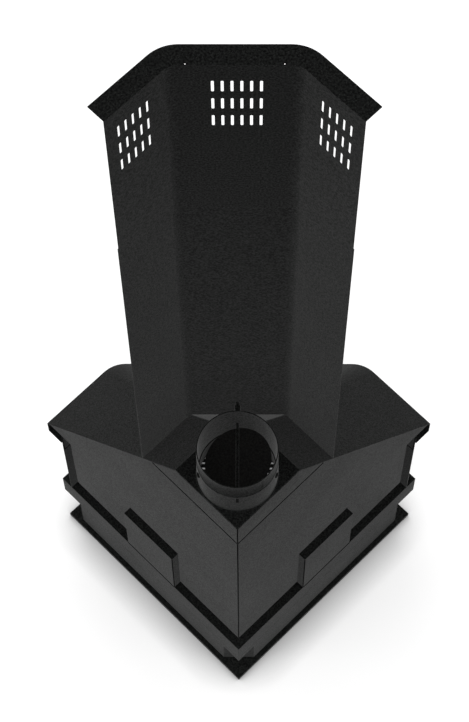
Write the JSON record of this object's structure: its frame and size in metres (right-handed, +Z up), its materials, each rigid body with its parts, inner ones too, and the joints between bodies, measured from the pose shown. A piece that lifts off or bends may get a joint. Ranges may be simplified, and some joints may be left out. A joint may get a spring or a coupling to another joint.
{
  "type": "corner fireplace",
  "caption": "Corner wood fireplace of folded black sheet steel with a glazed door, hipped mantel, flue collar with damper and a tall open-backed telescopic hood.",
  "frame": {"origin": "centre of the base of the whole object's box, on the floor", "axes": "+Z up along the flue and hood, -Y towards the room from the fire's door, +Y towards the room corner, +X to the fireplace's own left"},
  "size_m": [0.8104, 0.6062, 2.1669],
  "materials": {
    "black_steel": "matt heat-resistant powder coat",
    "cast_black": "matt",
    "fireclay": "rough fireclay",
    "brushed_steel": "brushed",
    "clear_glass": "clear heat-resistant glass ceramic",
    "rope_seal": "woven glass fibre rope"
  },
  "bodies": {
    "stove": {"base_tray": "black_steel", "plinth_rear_left": "black_steel", "plinth_rear_right": "black_steel", "plinth_front": "black_steel", "plinth_corner_plate": "black_steel", "hearth_box": "black_steel", "hearth_top": "black_steel", "heat_shield_left": "black_steel", "heat_shield_right": "black_steel", "rear_air_box_left": "black_steel", "rear_air_box_right": "black_steel", "firebox_shell": "cast_black", "brick_rear_left": "fireclay", "brick_rear_right": "fireclay", "brick_side_left": "fireclay", "brick_side_right": "fireclay", "floor_bricks": "fireclay", "fire_grate": "cast_black", "log_guard": "cast_black", "cheek_left": "black_steel", "cheek_right": "black_steel", "facade_panel": "black_steel", "hinge_brackets": "black_steel", "mantel_fascia": "black_steel", "roof_cover": "black_steel", "gable_strip_left": "black_steel", "gable_strip_right": "black_steel", "top_plate": "black_steel", "smoke_dome": "cast_black", "baffle_plate": "fireclay", "baffle_brackets": "cast_black", "smoke_neck": "cast_black", "flue_collar": "black_steel", "collar_screws": "black_steel", "hood_lower": "black_steel"},
    "door": {"door_frame": "cast_black", "door_glass": "clear_glass", "door_seal": "rope_seal", "glass_clips": "brushed_steel"},
    "latch_handle": {"door_handle": "brushed_steel", "latch_tongue": "brushed_steel"},
    "damper": {"damper_axle": "black_steel", "damper_disc": "cast_black", "damper_handle": "black_steel"},
    "hood_top": {"hood_upper": "black_steel", "hood_cornice": "black_steel"},
    "ash_pan": {"ash_drawer": "black_steel", "drawer_pull": "brushed_steel"},
    "air_control": {"air_slide": "brushed_steel", "air_knob": "brushed_steel"}
  },
  "joints": [
    {"name": "door_swing", "type": "hinge", "parent": "stove", "child": "door", "pos_m": [-0.203, -0.25985, 0.286], "axis": [0, 0, -1], "range_deg": [0, 110]},
    {"name": "handle_turn", "type": "hinge", "parent": "door", "child": "latch_handle", "pos_m": [0.168, -0.26715, 0.286], "axis": [0, -1, 0], "range_deg": [0, 90]},
    {"name": "damper_turn", "type": "hinge", "parent": "stove", "child": "damper", "pos_m": [0, 0.15515, 1.002], "axis": [0, 1, 0], "range_deg": [-18, 72]},
    {"name": "hood_slide", "type": "slide", "parent": "stove", "child": "hood_top", "axis": [0, 0, 1], "range_m": [-0.2, 0]},
    {"name": "drawer_slide", "type": "slide", "parent": "stove", "child": "ash_pan", "axis": [0, -1, 0], "range_m": [0, 0.3]},
    {"name": "air_slide_move", "type": "slide", "parent": "stove", "child": "air_control", "axis": [0, -1, 0], "range_m": [0, 0.00615]}
  ]
}
